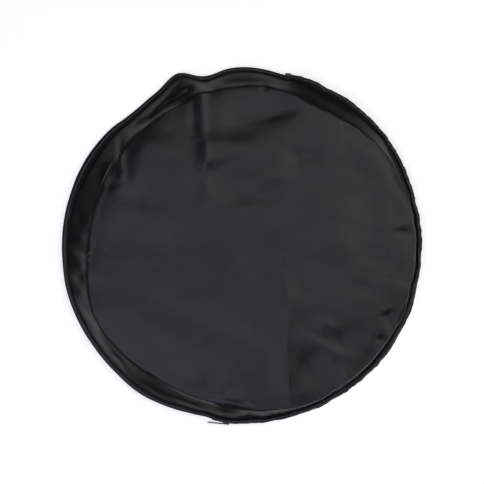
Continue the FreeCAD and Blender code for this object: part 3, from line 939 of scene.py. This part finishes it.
BINDING_CLOTH = woven("binding_cloth", (0.009, 0.009, 0.009), (0.013, 0.013, 0.013), pitch=0.8 * MM,
                      roughness=0.65, specular=0.3, sheen=0.05, crinkle=0.15, weave_depth=1.0, space="UV")
RIM_CLOTH = woven("rim_cover_cloth", (0.010, 0.010, 0.011), (0.016, 0.016, 0.017), pitch=0.6 * MM,
                  roughness=0.6, specular=0.35, sheen=0.05, crinkle=0.25, weave_depth=0.9, space="UV")
WHITE_CLOTH = woven("white_cloth", (0.74, 0.74, 0.72), (0.84, 0.84, 0.82), pitch=0.4 * MM,
                    roughness=0.75, specular=0.3, sheen=0.1, crinkle=0.4, weave_depth=0.5, space="UV")
SILVER_CLOTH = silver_film()
COIL_PLASTIC = coil_plastic()
ENAMEL = enamel()
THREAD = sewing_thread()
SPRING_STEEL = steel("blued_steel", (0.30, 0.32, 0.36), (1.0, 1.0, 12.0))
FERRULE_STEEL = steel("ferrule_steel", (0.58, 0.58, 0.57), (4.0, 4.0, 0.4))


def finish_node(node, made):
    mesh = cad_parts[node].data
    mesh.materials.clear()
    mesh.materials.append(made)


def metal_parts():
    for node in ("slider_body", "slider_crown", "pull_tab", "zip_top_stops", "zip_bottom_stop"):
        finish_node(node, ENAMEL)
    finish_node("spring_band", SPRING_STEEL)
    finish_node("band_ferrule", FERRULE_STEEL)


def front_panel(sewn_on):
    piece = front_cloth()
    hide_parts("front_panel_sewn_part", "front_panel_flap")
    fold_back(piece)
    seam = front_profile(angles)
    seam_r = np.append(seam["seam_r"], seam["seam_r"][0])
    seam_z = np.append(seam["seam_z"], seam["seam_z"][0])
    row = stitch_row("front_stitches", np.append(angles, TURN), seam_r, seam_z + 0.15 * MM, 3.0, 1.2, 0.28)
    fold_back(row)


lower_coil, upper_coil = coils()
front_panel([upper_tape(), upper_coil])
back_cloth([lower_tape(), hem_lip(), lower_coil, *inside_binding()])
rim()
folded_faces()
metal_parts()


# ---- Floor, light and camera ----

FLOOR_HALF = 12.0
FLOOR_Z = -0.0002                 # just under the pouch
SKY_TOP = 0.26                    # where the sky is at its darkest, as the height of its direction


def pale_floor():
    made, nodes, links, shader = material("pale_floor", 0.9, specular=0.1)
    shader.inputs["Emission Color"].default_value = (1, 1, 1, 1)
    shader.inputs["Emission Strength"].default_value = 0.66
    place = nodes.new("ShaderNodeTexCoord").outputs["Object"]
    tone = noise_node(nodes, links, place, 0.4, 2)
    links.new(ramp(nodes, links, tone, [(0.3, (0.9, 0.9, 0.9)), (0.7, (0.92, 0.92, 0.92))]),
              shader.inputs["Base Color"])
    corners = [(FLOOR_HALF * x, FLOOR_HALF * y, FLOOR_Z) for x, y in ((-1, -1), (1, -1), (1, 1), (-1, 1))]
    floor = new_mesh("floor", corners, [(0, 1, 2, 3)], made)


def soft_light(name, at, size, power, color):
    """A wide lamp that points straight down, placed in the camera's axes u and v, and height."""
    lamp = bpy.data.lights.new(name, "AREA")
    lamp.shape = "RECTANGLE"
    lamp.size, lamp.size_y = size
    lamp.energy = power
    lamp.color = color
    holder = bpy.data.objects.new(name, lamp)
    holder.location = (*from_view(at[0], at[1]), at[2])
    bpy.context.scene.collection.objects.link(holder)


def sky(horizon, above):
    """A plain studio: light near the horizon, darker above."""
    world = bpy.data.worlds.new("studio")
    bpy.context.scene.world = world
    world.use_nodes = True
    nodes, links = world.node_tree.nodes, world.node_tree.links
    split = nodes.new("ShaderNodeSeparateXYZ")
    links.new(nodes.new("ShaderNodeTexCoord").outputs["Generated"], split.inputs["Vector"])
    level = nodes.new("ShaderNodeMapRange")
    level.interpolation_type = "SMOOTHSTEP"
    level.inputs["From Min"].default_value = 0.0
    level.inputs["From Max"].default_value = SKY_TOP
    level.inputs["To Min"].default_value = horizon
    level.inputs["To Max"].default_value = above
    links.new(split.outputs["Z"], level.inputs["Value"])
    links.new(level.outputs["Result"], nodes["Background"].inputs["Strength"])
    nodes["Background"].inputs["Color"].default_value = (1, 1, 1, 1)


def camera():
    data = bpy.data.cameras.new("camera")
    data.lens = VIEW_LENS
    holder = bpy.data.objects.new("camera", data)
    distance = VIEW_WIDTH * VIEW_LENS / data.sensor_width
    holder.location = (*from_view(*VIEW_AIM), distance)
    holder.rotation_euler = (0, 0, VIEW_ROLL)
    bpy.context.scene.collection.objects.link(holder)
    bpy.context.scene.camera = holder


pale_floor()
soft_light("key", (0.95, 0.36, 2.0), (1.5, 0.85), 12.0, (1.0, 1.0, 0.96))
soft_light("cool_fill", (-0.66, -0.62, 2.0), (1.0, 1.1), 12.0, (0.80, 0.76, 1.0))
sky(0.45, 0.05)
camera()
bpy.context.scene.view_settings.view_transform = "Standard"
